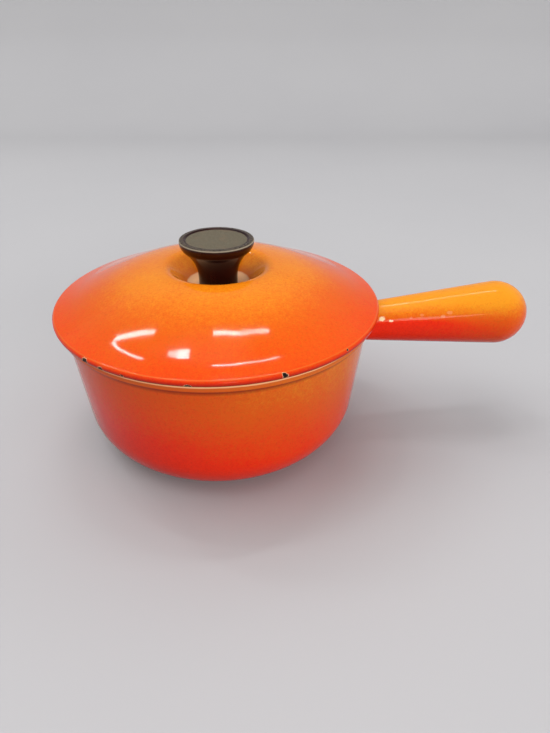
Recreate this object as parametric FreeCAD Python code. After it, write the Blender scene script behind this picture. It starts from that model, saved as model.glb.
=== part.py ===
"""Enamelled cast iron saucepan with a lift-off lid.

Millimetres, +Z up. The origin is the centre of the base on the resting plane
and +X runs along the handle. Each sub-part is written to its own STEP file.
"""
import FreeCAD, Part
import math
import os

# Pan bowl
PAN_HEIGHT = 86.0           # resting plane to the flat of the rim
RIM_R = 94.6                # outside of the bead that runs round the rim
BEAD_HEIGHT = 4.9           # bead, top to bottom
BEAD_OVERHANG = 2.9         # how far the bead stands proud of the wall under it
BEAD_TOP_ROUND = 1.7
BEAD_LOWER_ROUND = 1.3
WALL_DRAFT_DEG = 5.9        # taper of the wall towards the base
WALL = 3.8
FLOOR = 4.6
HEEL_ROUND = 29.3           # outside round between the wall and the base
MOUTH_ROUND = 0.9           # round on the inner edge of the rim
FOOT_WIDTH = 7.0            # ground ring that the pan stands on
FOOT_RECESS = 0.8           # depth of the middle of the base above that ring
FOOT_ROUND = 0.7

# Handle, cast in one with the bowl: a flared cone with a rounded end
HANDLE_TILT_DEG = 3.0       # rises towards its end
HANDLE_ROOT_R = 12.0        # radius of the cone where it leaves the wall
HANDLE_END_R = 20.2         # radius of the ball end
HANDLE_LENGTH = 107.0       # wall to tip, along its own axis
HANDLE_DROP = 4.8           # top of the root below the rim
HANDLE_WALL = 5.2
HANDLE_BLEND = 4.5          # fillet between the handle and the wall
CORE_START = 14.0           # solid length at the root before the hollow starts
SLOT_START = 26.0           # centre of the slot's narrow end, from the wall
SLOT_END_GAP = 24.0         # centre of the slot's wide end, back from the tip
SLOT_ROOT_R = 3.6
SLOT_END_R = 6.6
SLOT_ROUND = 1.4

# Lid
LID_OVERHANG = 2.9          # how far the lid's edge passes the rim bead
LID_WALL = 3.6
LID_EDGE_ROUND = 2.1
BRIM_SLOPE_DEG = 20.7       # straight slope just inside the edge
BRIM_START_R = 88.4         # where the brim meets the hollow round above it
BRIM_HOLLOW = 75.0          # radius of that hollow round
FLANK_SLOPE_DEG = 24.5      # steepest slope, where the hollow meets the shoulder
SHOULDER_ROUND = 400.0      # long arc from there up to the crown
CROWN_START_R = 64.0        # where the shoulder hands over to the crown
CROWN_ROUND = 107.5         # radius of the crown's arc
LIP_ROUND = 7.5             # round over the lip of the dimple
DIMPLE_RUN = 18.9           # lip of the dimple, out from the flat knob seat
DIMPLE_DEPTH = 12.8         # lip of the dimple down to the knob seat
SEAT_ROUND = 7.0            # round between the dimple's slope and the seat
SEAT_MARGIN = 2.3           # flat of the seat beyond the knob's foot
FLANGE_GAP = 0.8            # locating flange to the mouth of the pan
FLANGE_DEPTH = 3.6
FLANGE_WIDTH = 3.4
FLANGE_EDGE_ROUND = 1.2
FLANGE_ROOT_ROUND = 3.0

# Knob
KNOB_R = 21.9
KNOB_STEM_R = 11.7
KNOB_HEIGHT = 28.2
KNOB_RIM_HEIGHT = 6.2       # straight rim under the top
KNOB_FLARE_DEG = 57.7       # spread of the flare from the vertical
KNOB_RIM_ROUND = 1.8
KNOB_TOP_ROUND = 1.1
KNOB_LAND = 2.0             # flat ring round the dished top
KNOB_DISH = 0.7
KNOB_FOOT_ROUND = 0.6

# Threaded insert, screw and washers, all on the knob's axis
SCREW_R = 3.0               # nominal thread radius
THREAD_GAP = 0.05           # radial clearance of screw in insert
INSERT_WALL = 1.7
INSERT_LENGTH = 12.0
INSERT_SETBACK = 0.4        # insert's face above the knob's foot
SOCKET_GAP = 0.03           # radial clearance of insert in knob
SOCKET_SPARE = 1.0          # knob's socket beyond the insert
SCREW_HOLE_GAP = 0.4        # radial clearance of screw in lid
SCREW_GRIP = 9.0            # thread engaged in the insert
SCREW_TIP_ROUND = 0.6
HEAD_R = 5.4
HEAD_HEIGHT = 3.2
HEAD_ROUND = 1.4
DRIVER_SLOT_WIDTH = 1.4
DRIVER_SLOT_DEPTH = 1.5
WASHER_R = 8.0
WASHER_THICK = 1.2
LOCK_WASHER_R = 5.2
LOCK_WASHER_THICK = 1.6
LOCK_WASHER_CUT = 1.2       # gap across the split

# Worked-out sizes
DRAFT = math.radians(WALL_DRAFT_DEG)
BRIM = math.radians(BRIM_SLOPE_DEG)
FLANK = math.radians(FLANK_SLOPE_DEG)
MOUTH_R = RIM_R - BEAD_OVERHANG + BEAD_HEIGHT * math.tan(DRAFT) - WALL / math.cos(DRAFT)
FLANGE_R = MOUTH_R - FLANGE_GAP
LID_R = RIM_R + LID_OVERHANG
SEAT_R = KNOB_STEM_R + SEAT_MARGIN
LIP_R = SEAT_R + DIMPLE_RUN
BORE_R = SCREW_R + THREAD_GAP
SCREW_HOLE_R = SCREW_R + SCREW_HOLE_GAP
INSERT_R = SCREW_R + INSERT_WALL
HANDLE_AXIS_Z = PAN_HEIGHT - HANDLE_DROP - HANDLE_ROOT_R


def point(r, z):
    """A point on the profile plane, r out from the axis and z up."""
    return FreeCAD.Vector(r, 0, z)


def unit(v):
    """The vector v at length one."""
    return v * (1.0 / v.Length)


def rounded_wire(corners):
    """Closed wire through (r, z, radius) corners, each turned by a tangent arc."""
    count = len(corners)
    places = [point(r, z) for r, z, _ in corners]
    entries, edges = [], []
    for i, here in enumerate(places):
        radius = corners[i][2]
        back = unit(places[i - 1] - here)
        ahead = unit(places[(i + 1) % count] - here)
        if radius <= 0:
            entries.append((here, here, None))
            continue
        half = back.getAngle(ahead) / 2
        reach = radius / math.tan(half)
        middle = here + unit(back + ahead) * (radius / math.sin(half) - radius)
        entries.append((here + back * reach, here + ahead * reach, middle))
    for i, (start, end, middle) in enumerate(entries):
        if middle is not None:
            edges.append(Part.Arc(start, middle, end).toShape())
        following = entries[(i + 1) % count][0]
        if end.distanceToPoint(following) > 1e-6:
            edges.append(Part.makeLine(end, following))
    return Part.Wire(edges)


def turned(wire):
    """The solid of a closed profile turned round the Z axis, its seam at -X."""
    face = Part.Face(wire)
    face.rotate(FreeCAD.Vector(), FreeCAD.Vector(0, 0, 1), 180)
    return face.revolve(FreeCAD.Vector(), FreeCAD.Vector(0, 0, 1), 360)


def tube(outer, inner, low, high):
    """A plain ring about the Z axis."""
    corners = [(inner, low, 0), (outer, low, 0), (outer, high, 0), (inner, high, 0)]
    return turned(rounded_wire(corners))


def round_edges(shape, chosen, radius):
    """The shape with the edges that pass the test rounded."""
    edges = [edge for edge in shape.Edges if chosen(edge)]
    return shape.makeFillet(radius, edges)


def on_circle(edge, r, z):
    """Whether an edge is the whole circle of radius r at height z about the Z axis."""
    box = edge.BoundBox
    level = abs(box.ZMin - z) < 1e-3 and abs(box.ZMax - z) < 1e-3
    return level and abs(edge.Length - 2 * math.pi * r) < 1e-2


# Pan --------------------------------------------------------------------

def wall_r(z, inset=0.0):
    """Radius of the wall's face at height z, moved in square to it by inset."""
    under_bead = PAN_HEIGHT - BEAD_HEIGHT
    return RIM_R - BEAD_OVERHANG + (z - under_bead) * math.tan(DRAFT) - inset / math.cos(DRAFT)


def bowl_block():
    """Outside of the bowl as a solid, its wall carried on above the rim."""
    top = PAN_HEIGHT + HANDLE_BLEND + WALL
    corners = [(0, 0, 0), (wall_r(0), 0, HEEL_ROUND), (wall_r(top), top, 0), (0, top, 0)]
    return turned(rounded_wire(corners))


def bowl_cavity():
    """Inside of the bowl, open at the top."""
    top = PAN_HEIGHT + HANDLE_BLEND + 2 * WALL
    corners = [
        (0, FLOOR, 0),
        (wall_r(FLOOR, WALL), FLOOR, HEEL_ROUND - WALL),
        (wall_r(top, WALL), top, 0),
        (0, top, 0),
    ]
    return turned(rounded_wire(corners))


def rim_bead():
    """Bead round the outside of the rim."""
    low = PAN_HEIGHT - BEAD_HEIGHT
    inner = wall_r(low, WALL / 2)
    corners = [
        (inner, low, 0),
        (RIM_R, low, BEAD_LOWER_ROUND),
        (RIM_R, PAN_HEIGHT, BEAD_TOP_ROUND),
        (inner, PAN_HEIGHT, 0),
    ]
    return turned(rounded_wire(corners))


def foot_recess():
    """Shallow round hollow under the base that leaves the foot ring."""
    flat = wall_r(0) - HEEL_ROUND * math.tan((math.pi / 2 - DRAFT) / 2)
    radius = flat - FOOT_WIDTH
    corners = [
        (0, -FOOT_RECESS, 0),
        (radius, -FOOT_RECESS, 0),
        (radius, FOOT_RECESS, FOOT_ROUND),
        (0, FOOT_RECESS, 0),
    ]
    return turned(rounded_wire(corners))


def handle_solid(inset, start):
    """Cone about +X that runs tangent into a ball end, drawn in by inset all over."""
    centre = HANDLE_LENGTH - HANDLE_END_R
    reach = math.hypot(HANDLE_ROOT_R, centre)
    taper = math.atan2(centre, HANDLE_ROOT_R) - math.acos(HANDLE_END_R / reach)
    ball = HANDLE_END_R - inset
    join = FreeCAD.Vector(centre - ball * math.sin(taper), ball * math.cos(taper), 0)
    half = (math.pi / 2 - taper) / 2
    middle = FreeCAD.Vector(centre + ball * math.sin(half), ball * math.cos(half), 0)
    tip = FreeCAD.Vector(centre + ball, 0, 0)
    shoulder = FreeCAD.Vector(start, join.y - (join.x - start) * math.tan(taper), 0)
    foot = FreeCAD.Vector(start, 0, 0)
    edges = [
        Part.makeLine(foot, shoulder),
        Part.makeLine(shoulder, join),
        Part.Arc(join, middle, tip).toShape(),
        Part.makeLine(tip, foot),
    ]
    face = Part.Face(Part.Wire(edges))
    return face.revolve(FreeCAD.Vector(), FreeCAD.Vector(1, 0, 0), 360)


def slot_prism():
    """Tapered slot through the handle's underside into its hollow."""
    near, far = SLOT_START, HANDLE_LENGTH - SLOT_END_GAP
    lean = math.asin((SLOT_END_R - SLOT_ROOT_R) / (far - near))
    side, along = math.cos(lean), -math.sin(lean)
    near_top = FreeCAD.Vector(near + SLOT_ROOT_R * along, SLOT_ROOT_R * side, 0)
    far_top = FreeCAD.Vector(far + SLOT_END_R * along, SLOT_END_R * side, 0)
    near_low = FreeCAD.Vector(near_top.x, -near_top.y, 0)
    far_low = FreeCAD.Vector(far_top.x, -far_top.y, 0)
    edges = [
        Part.makeLine(near_top, far_top),
        Part.Arc(far_top, FreeCAD.Vector(far + SLOT_END_R, 0, 0), far_low).toShape(),
        Part.makeLine(far_low, near_low),
        Part.Arc(near_low, FreeCAD.Vector(near - SLOT_ROOT_R, 0, 0), near_top).toShape(),
    ]
    face = Part.Face(Part.Wire(edges))
    return face.extrude(FreeCAD.Vector(0, 0, -2 * HANDLE_END_R))


def in_place(shape):
    """A handle shape moved from its own axis to the wall of the pan."""
    placed = shape.copy()
    placed.rotate(FreeCAD.Vector(), FreeCAD.Vector(0, 1, 0), -HANDLE_TILT_DEG)
    placed.translate(FreeCAD.Vector(wall_r(HANDLE_AXIS_Z), 0, HANDLE_AXIS_Z))
    return placed


def hollow_handle():
    """Handle before it joins the bowl: cored from inside, slotted below."""
    solid = handle_solid(0, -HANDLE_ROOT_R)
    return solid.cut(handle_solid(HANDLE_WALL, CORE_START)).cut(slot_prism())


def on_slot_mouth(edge):
    """Whether an edge is where the slot leaves the handle's outside."""
    middle = edge.valueAt((edge.FirstParameter + edge.LastParameter) / 2)
    if middle.z > -HANDLE_ROOT_R * 0.75 or middle.x < SLOT_START - 2 * SLOT_ROOT_R:
        return False
    taper = (HANDLE_END_R - HANDLE_ROOT_R) / (HANDLE_LENGTH - HANDLE_END_R)
    outside = min(HANDLE_ROOT_R + taper * middle.x, HANDLE_END_R)
    depth = math.hypot(middle.y, middle.z)
    return depth > outside - HANDLE_WALL / 2 and abs(middle.y) <= SLOT_END_R + 1e-3


def at_handle_root(edge):
    """Whether an edge is the seam between the handle and the wall."""
    box = edge.BoundBox
    root = wall_r(HANDLE_AXIS_Z)
    near = abs((box.XMin + box.XMax) / 2 - root) < HANDLE_ROOT_R / 2
    upright = box.ZLength > HANDLE_ROOT_R / 2
    return near and upright and box.YMax < 2 * HANDLE_ROOT_R


def saucepan_body():
    """Bowl, rim bead and handle as the one casting they are."""
    handle = round_edges(hollow_handle(), on_slot_mouth, SLOT_ROUND)
    joined = bowl_block().fuse(in_place(handle))
    joined = round_edges(joined, at_handle_root, HANDLE_BLEND)
    above = Part.makeCylinder(RIM_R + HANDLE_BLEND, 2 * HANDLE_BLEND + WALL, point(0, PAN_HEIGHT))
    joined = joined.cut(above).fuse(rim_bead())
    joined = joined.cut(bowl_cavity()).cut(foot_recess())
    joined = joined.removeSplitter()
    return round_edges(joined, lambda edge: on_circle(edge, MOUTH_R, PAN_HEIGHT), MOUTH_ROUND)


# Lid --------------------------------------------------------------------

def lean(slope):
    """Unit vector square to a surface of that slope, turned outwards from straight up."""
    return point(math.sin(slope), math.cos(slope))


def bow(centre, radius, start, end):
    """Arc about a centre between two slopes; a negative radius makes it hollow."""
    places = [centre + lean(slope) * radius for slope in (start, (start + end) / 2, end)]
    return Part.Arc(*places).toShape()


def first(edge):
    """Where an edge starts."""
    return edge.valueAt(edge.FirstParameter)


def last(edge):
    """Where an edge ends."""
    return edge.valueAt(edge.LastParameter)


def lid_edge_centre():
    """Centre of the round along the lid's edge."""
    return point(LID_R - LID_EDGE_ROUND, PAN_HEIGHT + LID_EDGE_ROUND)


def hollow_centre():
    """Centre of the hollow round, tangent to the straight brim at its start."""
    touch = lid_edge_centre() + lean(BRIM) * LID_EDGE_ROUND
    run = touch.x - BRIM_START_R
    start = touch + point(-run, run * math.tan(BRIM))
    return start + lean(BRIM) * BRIM_HOLLOW


def shoulder_centre():
    """Centre of the shoulder's arc, tangent to the hollow at the steepest slope."""
    return hollow_centre() - lean(FLANK) * (BRIM_HOLLOW + SHOULDER_ROUND)


def shoulder_slope(r, inset=0.0):
    """Slope of the shoulder's arc at radius r, the arc drawn in by inset."""
    return math.asin((r - shoulder_centre().x) / (SHOULDER_ROUND - inset))


def crown_centre():
    """Centre of the crown's arc, tangent to the shoulder at its start."""
    return shoulder_centre() + lean(shoulder_slope(CROWN_START_R)) * (SHOULDER_ROUND - CROWN_ROUND)


def lip_slope():
    """Slope at which the crown's arc hands over to the round of the lip."""
    return math.asin((LIP_R - crown_centre().x) / (CROWN_ROUND - LIP_ROUND))


def lip_centre():
    """Centre of the round over the dimple's lip."""
    return crown_centre() + lean(lip_slope()) * (CROWN_ROUND - LIP_ROUND)


def seat_z():
    """Height of the flat that the knob stands on, at the bottom of the dimple."""
    return lip_centre().z + LIP_ROUND - DIMPLE_DEPTH


def seat_centre():
    """Centre of the hollow round between the dimple's slope and the seat."""
    return point(SEAT_R, seat_z() + SEAT_ROUND)


def dimple_slope():
    """Slope of the dimple's side, tangent to the lip's round and to the seat's."""
    across = lip_centre() - seat_centre()
    turn = math.asin((LIP_ROUND + SEAT_ROUND) / across.Length)
    return math.atan2(across.z, across.x) + turn


def dome_edges(start, inset):
    """Edges from slope start on the shoulder to the screw hole, drawn in by inset."""
    side = dimple_slope()
    joint = shoulder_slope(CROWN_START_R)
    shoulder = bow(shoulder_centre(), SHOULDER_ROUND - inset, start, joint)
    crown = bow(crown_centre(), CROWN_ROUND - inset, joint, lip_slope())
    lip = bow(lip_centre(), LIP_ROUND - inset, lip_slope(), -side)
    seat = bow(seat_centre(), -SEAT_ROUND - inset, -side, 0)
    slope = Part.makeLine(last(lip), first(seat))
    flat = Part.makeLine(last(seat), point(SCREW_HOLE_R, seat_z() - inset))
    return [shoulder, crown, lip, slope, seat, flat]


def brim_edges():
    """Edges from the lid's underside round its edge and up the brim to the shoulder."""
    edge = bow(lid_edge_centre(), LID_EDGE_ROUND, math.pi, BRIM)
    hollow = bow(hollow_centre(), -BRIM_HOLLOW, BRIM, FLANK)
    return [edge, Part.makeLine(last(edge), first(hollow)), hollow]


def lid():
    """Domed lid with a dimple for the knob and a flange that drops into the pan."""
    flange_in = FLANGE_R - FLANGE_WIDTH
    flange_z = PAN_HEIGHT - FLANGE_DEPTH
    brim = brim_edges()
    upper = dome_edges(FLANK, 0)
    under = dome_edges(shoulder_slope(flange_in, LID_WALL), LID_WALL)
    root = first(under[0])
    corners = [
        root,
        point(flange_in, flange_z),
        point(FLANGE_R, flange_z),
        point(FLANGE_R, PAN_HEIGHT),
        first(brim[0]),
    ]
    edges = brim + upper + under
    edges.append(Part.makeLine(last(upper[-1]), last(under[-1])))
    edges += [Part.makeLine(*pair) for pair in zip(corners, corners[1:])]
    shape = turned(Part.Wire(Part.sortEdges(edges)[0]))
    shape = round_edges(shape, lambda e: on_circle(e, flange_in, root.z), FLANGE_ROOT_ROUND)
    for radius in (flange_in, FLANGE_R):
        shape = round_edges(shape, lambda e: on_circle(e, radius, flange_z), FLANGE_EDGE_ROUND)
    return shape


# Knob and its fixing ----------------------------------------------------

def knob():
    """Flared knob with a dished top, its foot bored for the threaded insert."""
    low = seat_z()
    top = low + KNOB_HEIGHT
    rim_low = top - KNOB_RIM_HEIGHT
    flare = math.radians(KNOB_FLARE_DEG)
    spread = KNOB_R - KNOB_STEM_R
    waist = rim_low - spread / math.tan(flare)
    run = spread / math.sin(flare) - KNOB_RIM_ROUND * math.tan(flare / 2)
    land = KNOB_R - KNOB_TOP_ROUND - KNOB_LAND
    corners = [
        (0, low, 0),
        (KNOB_STEM_R, low, KNOB_FOOT_ROUND),
        (KNOB_STEM_R, waist, run / math.tan(flare / 2)),
        (KNOB_R, rim_low, KNOB_RIM_ROUND),
        (KNOB_R, top, KNOB_TOP_ROUND),
        (land, top, KNOB_DISH / 2),
        (land - KNOB_DISH, top - KNOB_DISH, KNOB_DISH / 2),
        (0, top - KNOB_DISH, 0),
    ]
    depth = INSERT_SETBACK + INSERT_LENGTH + SOCKET_SPARE
    socket = Part.makeCylinder(INSERT_R + SOCKET_GAP, depth, point(0, low))
    return turned(rounded_wire(corners)).cut(socket)


def knob_insert():
    """Brass insert moulded into the knob's foot, with its thread as a plain bore."""
    low = seat_z() + INSERT_SETBACK
    return tube(INSERT_R, BORE_R, low, low + INSERT_LENGTH)


def stack_z():
    """Undersides of the lid's seat, the washer, the lock washer and the screw head."""
    lid_under = seat_z() - LID_WALL
    washer_under = lid_under - WASHER_THICK
    lock_under = washer_under - LOCK_WASHER_THICK
    return lid_under, washer_under, lock_under, lock_under - HEAD_HEIGHT


def knob_screw():
    """Slotted screw up through the lid into the insert."""
    _, _, head_top, head_low = stack_z()
    tip = seat_z() + INSERT_SETBACK + SCREW_GRIP
    corners = [
        (0, head_low, 0),
        (HEAD_R, head_low, HEAD_ROUND),
        (HEAD_R, head_top, 0),
        (SCREW_R, head_top, 0),
        (SCREW_R, tip, SCREW_TIP_ROUND),
        (0, tip, 0),
    ]
    corner = FreeCAD.Vector(-HEAD_R, -DRIVER_SLOT_WIDTH / 2, head_low)
    slot = Part.makeBox(2 * HEAD_R, DRIVER_SLOT_WIDTH, DRIVER_SLOT_DEPTH, corner)
    return turned(rounded_wire(corners)).cut(slot)


def screw_washer():
    """Flat washer that spreads the load on the enamel."""
    lid_under, washer_under, _, _ = stack_z()
    return tube(WASHER_R, SCREW_HOLE_R, washer_under, lid_under)


def lock_washer():
    """Split spring washer, pressed flat under the screw's head."""
    _, washer_under, lock_under, _ = stack_z()
    ring = tube(LOCK_WASHER_R, SCREW_HOLE_R, lock_under, washer_under)
    corner = FreeCAD.Vector(0, -LOCK_WASHER_CUT / 2, lock_under - LOCK_WASHER_THICK)
    split = Part.makeBox(2 * LOCK_WASHER_R, LOCK_WASHER_CUT, 3 * LOCK_WASHER_THICK, corner)
    return ring.cut(split)


PARTS = {
    "saucepan_body": saucepan_body,
    "lid": lid,
    "knob": knob,
    "knob_insert": knob_insert,
    "knob_screw": knob_screw,
    "screw_washer": screw_washer,
    "lock_washer": lock_washer,
}


def main():
    """Build each sub-part and write its STEP file."""
    os.makedirs("parts", exist_ok=True)
    for name, build in PARTS.items():
        shape = build()
        facts = (name, len(shape.Solids), shape.isValid(), shape.Volume)
        print("%s: %d solid, valid %s, %.0f mm3" % facts)
        shape.exportStep("parts/" + name + ".step")


main()
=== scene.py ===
"""Looks of a lidded saucepan in flame enamel over cast iron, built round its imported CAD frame.

Lengths are metres. The pan's axis is Z, it stands on z = 0 and its handle runs out along +X.
Each sub-assembly is a class whose fields are its sizes and whose methods work out its surfaces
as numpy grids and dress them. The fixings keep their CAD solids and get better finishes.
"""
import logging
import math
from dataclasses import dataclass
from enum import Enum
from typing import Callable, Sequence, Union

import bmesh
import bpy
import numpy as np
from mathutils import Matrix, Vector


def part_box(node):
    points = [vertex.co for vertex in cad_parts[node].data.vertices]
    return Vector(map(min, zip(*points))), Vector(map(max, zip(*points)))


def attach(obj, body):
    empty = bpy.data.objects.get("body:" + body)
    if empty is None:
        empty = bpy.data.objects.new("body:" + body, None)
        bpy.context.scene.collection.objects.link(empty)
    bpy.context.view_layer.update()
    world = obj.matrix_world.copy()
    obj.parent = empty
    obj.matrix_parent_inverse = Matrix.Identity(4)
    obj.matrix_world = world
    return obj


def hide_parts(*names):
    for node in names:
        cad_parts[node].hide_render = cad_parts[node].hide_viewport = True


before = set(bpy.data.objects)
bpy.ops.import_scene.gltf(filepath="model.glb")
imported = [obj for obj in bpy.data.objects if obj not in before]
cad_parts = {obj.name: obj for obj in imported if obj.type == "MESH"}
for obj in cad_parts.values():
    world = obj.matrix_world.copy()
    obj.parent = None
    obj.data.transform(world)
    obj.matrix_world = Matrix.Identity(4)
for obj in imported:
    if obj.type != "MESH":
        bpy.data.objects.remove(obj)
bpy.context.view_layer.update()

log = logging.getLogger("saucepan")

Array = np.ndarray
Material = bpy.types.Material
Piece = bpy.types.Object
Pair = tuple[float, float]
Triple = tuple[float, float, float]
Colour = tuple[float, float, float, float]
Term = Union["Shade", float]

TURN = 2 * math.pi
MM_PER_M = 1000
WELD = 2e-7
CREASE = math.radians(38)
# Values of "lining", and of "chip", that lie well clear of an edge: outside it and inside.
UNLINED, LINED = -9.0, 9.0


# ---- Shader tools

def paint(red: float, green: float, blue: float) -> Colour:
    """A colour written in display values from 0 to 255, as the linear one a shader takes."""
    shown = (channel / 255 for channel in (red, green, blue))
    return (*(s / 12.92 if s <= 0.04045 else ((s + 0.055) / 1.055) ** 2.4 for s in shown), 1.0)


def math_node(operation: str, swapped: bool = False) -> Callable[["Shade", Term], "Shade"]:
    """A method of Shade that puts a Math node on it and another term, that one first if swapped."""
    def method(self: "Shade", other: Term) -> "Shade":
        """The node's result."""
        terms = (other, self) if swapped else (self, other)
        return self.graph.node("ShaderNodeMath", {"operation": operation}, dict(enumerate(terms)))
    return method


class Shade:
    """One output of a shader node, which Python's operators combine with numbers or others."""
    __add__ = __radd__ = math_node("ADD")
    __sub__ = math_node("SUBTRACT")
    __rsub__ = math_node("SUBTRACT", swapped=True)
    __mul__ = __rmul__ = math_node("MULTIPLY")
    larger = math_node("MAXIMUM")

    def __init__(self, graph: "Graph", socket: bpy.types.NodeSocket) -> None:
        """Keep the graph and the socket."""
        self.graph = graph
        self.socket = socket

    def step(self, low: float, high: float) -> "Shade":
        """0 where this is below low and 1 above high, with a smooth rise between them."""
        inputs = {"Value": self, "From Min": low, "From Max": high}
        return self.graph.node("ShaderNodeMapRange", {"interpolation_type": "SMOOTHSTEP"}, inputs)


class Graph:
    """A node tree, grown from its output backwards."""

    def __init__(self, tree: bpy.types.NodeTree, material: Material | None = None) -> None:
        """Empty the tree and keep it, with the material it belongs to."""
        self.tree = tree
        self.material = material
        tree.nodes.clear()

    @classmethod
    def painted(cls, name: str) -> "Graph":
        """The graph of a new material of that name."""
        material = bpy.data.materials.new(name)
        material.use_nodes = True
        return cls(material.node_tree, material)

    def node(self, kind: str, settings: dict | None = None, inputs: dict | None = None,
             output: int | str | None = 0) -> Shade | None:
        """Add one node.

        Args:
            kind: the node's type.
            settings: its own settings, set first; "stops" is a ramp's list of (place, colour).
            inputs: a value or a Shade for each socket, by name or number.
            output: the output that is wanted, or None for a node without any.

        Returns:
            That output as a Shade.
        """
        made = self.tree.nodes.new(kind)
        for name, value in (settings or {}).items():
            if name == "stops":
                self._set_stops(made.color_ramp, value)
            else:
                setattr(made, name, value)
        for name, value in (inputs or {}).items():
            if isinstance(value, Shade):
                self.tree.links.new(value.socket, made.inputs[name])
            else:
                made.inputs[name].default_value = value
        return None if output is None else Shade(self, made.outputs[output])

    @staticmethod
    def _set_stops(ramp: bpy.types.ColorRamp, stops: Sequence[tuple[float, Colour]]) -> None:
        """Give a ramp its stops, in order."""
        while len(ramp.elements) < len(stops):
            ramp.elements.new(1.0)
        for element, (place, colour) in zip(ramp.elements, stops):
            element.position = place
            element.color = colour

    def place(self, scale: Triple = (1.0, 1.0, 1.0)) -> Shade:
        """Object coordinates, stretched by scale."""
        where = self.node("ShaderNodeTexCoord", output="Object")
        return self.node("ShaderNodeMapping", inputs={"Vector": where, "Scale": scale})

    def mark(self, name: str) -> Shade:
        """A value that the mesh carries at each vertex."""
        return self.node("ShaderNodeAttribute", {"attribute_name": name}, output="Fac")

    def noise(self, scale: float, detail: float = 2.0, roughness: float = 0.5,
              stretch: Triple = (1.0, 1.0, 1.0)) -> Shade:
        """Soft noise about 0.5, scale grains to the metre."""
        inputs = {"Vector": self.place(stretch), "Scale": scale, "Detail": detail, "Roughness": roughness}
        return self.node("ShaderNodeTexNoise", inputs=inputs, output="Fac")

    def ripple(self, swing: float, scale: float, detail: float = 2.0, roughness: float = 0.5) -> Shade:
        """Noise about 0 in place of 0.5, times swing."""
        return (self.noise(scale, detail, roughness) - 0.5) * swing

    def mix(self, factor: Term, first: Shade | Colour, second: Shade | Colour) -> Shade:
        """The first colour where factor is 0, and the second where it is 1."""
        return self.node("ShaderNodeMix", {"data_type": "RGBA"}, {0: factor, 6: first, 7: second}, 2)

    def coats(self, colour: Shade, coats: Sequence[tuple[Term, Shade | Colour]]) -> Shade:
        """The colour under a row of coats, each a mask and a colour, with the last one on top."""
        for mask, coat in coats:
            colour = self.mix(mask, colour, coat)
        return colour

    def ramp(self, factor: Term, stops: Sequence[tuple[float, Colour]]) -> Shade:
        """A colour ramp read at factor."""
        return self.node("ShaderNodeValToRGB", {"stops": stops}, {"Fac": factor}, "Color")

    def bump(self, height: Shade, strength: float, distance: float) -> Shade:
        """A bumped normal from a height."""
        inputs = {"Height": height, "Strength": strength, "Distance": distance}
        return self.node("ShaderNodeBump", inputs=inputs, output="Normal")

    def finish(self, **sockets: object) -> Material:
        """Close the graph with a Principled surface and give back its material.

        Args:
            sockets: the surface's inputs by name, with _ for a space.

        Returns:
            The finished material.
        """
        inputs = {name.replace("_", " "): value for name, value in sockets.items()}
        surface = self.node("ShaderNodeBsdfPrincipled", inputs=inputs)
        self.node("ShaderNodeOutputMaterial", inputs={"Surface": surface}, output=None)
        return self.material

    def seen(self) -> Shade:
        """1 for rays from the camera and those that mirrors and glass send on, 0 for soft light."""
        kinds = ("Is Camera Ray", "Is Glossy Ray", "Is Transmission Ray")
        camera, glossy, through = (self.node("ShaderNodeLightPath", output=kind) for kind in kinds)
        return camera.larger(glossy).larger(through)


# ---- Finishes

@dataclass(frozen=True)
class Speck:
    """A small pale spot painted on the enamel, round its middle, stretched along X."""
    middle: Triple
    size: float
    stretch: float = 1.0
    strength: float = 1.0

    def mask(self, graph: Graph) -> Shade:
        """How much of the spot shows: full inside its ragged outline and 0 outside."""
        scale = (1 / self.stretch, 1.0, 1.0)
        middle = tuple(place * part for place, part in zip(self.middle, scale))
        inputs = {0: graph.place(scale), 1: middle}
        away = graph.node("ShaderNodeVectorMath", {"operation": "DISTANCE"}, inputs, "Value")
        edge = self.size * 1.25 - away - graph.ripple(self.size, 900.0)
        return edge.step(0.0, self.size * 0.5) * self.strength


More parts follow.
